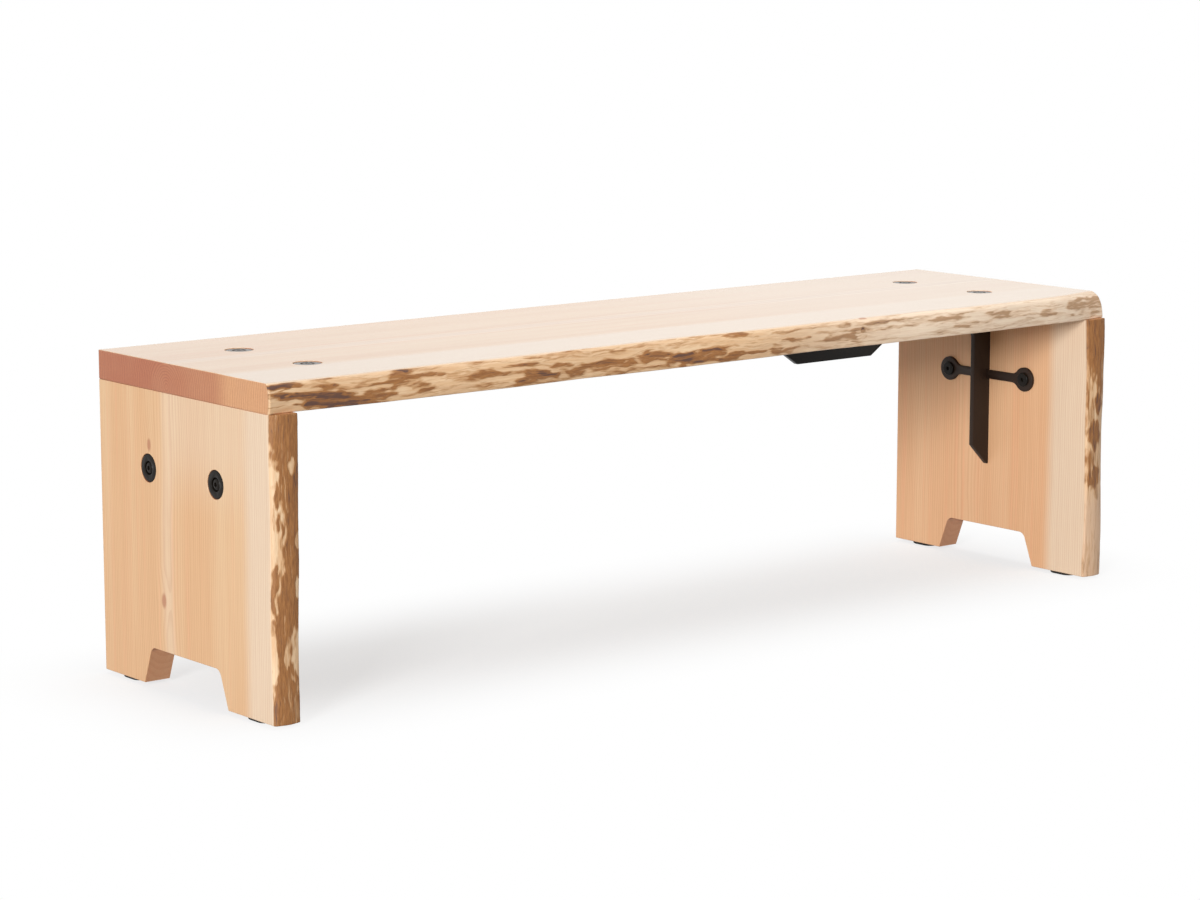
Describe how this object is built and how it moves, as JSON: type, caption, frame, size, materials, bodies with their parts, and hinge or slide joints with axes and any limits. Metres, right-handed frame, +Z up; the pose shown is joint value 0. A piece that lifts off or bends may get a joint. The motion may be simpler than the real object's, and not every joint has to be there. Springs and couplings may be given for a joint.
{
  "type": "outdoor bench",
  "caption": "Backless bench: a thick softwood slab seat with a live front edge on two notched slab legs, joined by black steel corner brackets and let-in bolts.",
  "frame": {"origin": "on the floor, under the middle of the bench's overall box", "axes": "+X along the seat, towards the end with the stiffener bar; the live edges face -Y; +Z up"},
  "size_m": [1.55, 0.4241, 0.45],
  "materials": {
    "seat_wood": "planed, pale, unoiled",
    "leg_wood": "planed, warm, unoiled",
    "bracket_steel": "satin black powder coat",
    "fastener_steel": "black oxide",
    "screw_steel": "zinc plated",
    "glide_rubber": "matt"
  },
  "bodies": {
    "root": {"left_back_glide": "glide_rubber", "left_bracket_rib": "bracket_steel", "left_front_glide": "glide_rubber", "left_glide_screws": "screw_steel", "left_leg_bolts": "fastener_steel", "left_leg_nuts": "fastener_steel", "left_leg_slab": "leg_wood", "left_leg_strap": "bracket_steel", "left_leg_washers": "fastener_steel", "left_seat_bolts": "fastener_steel", "left_seat_nuts": "fastener_steel", "left_seat_strap": "bracket_steel", "left_seat_washers": "fastener_steel", "right_back_glide": "glide_rubber", "right_bracket_rib": "bracket_steel", "right_front_glide": "glide_rubber", "right_glide_screws": "screw_steel", "right_leg_bolts": "fastener_steel", "right_leg_nuts": "fastener_steel", "right_leg_slab": "leg_wood", "right_leg_strap": "bracket_steel", "right_leg_washers": "fastener_steel", "right_seat_bolts": "fastener_steel", "right_seat_nuts": "fastener_steel", "right_seat_strap": "bracket_steel", "right_seat_washers": "fastener_steel", "seat_slab": "seat_wood", "seat_stiffener": "bracket_steel", "stiffener_screws": "screw_steel"}
  },
  "joints": []
}
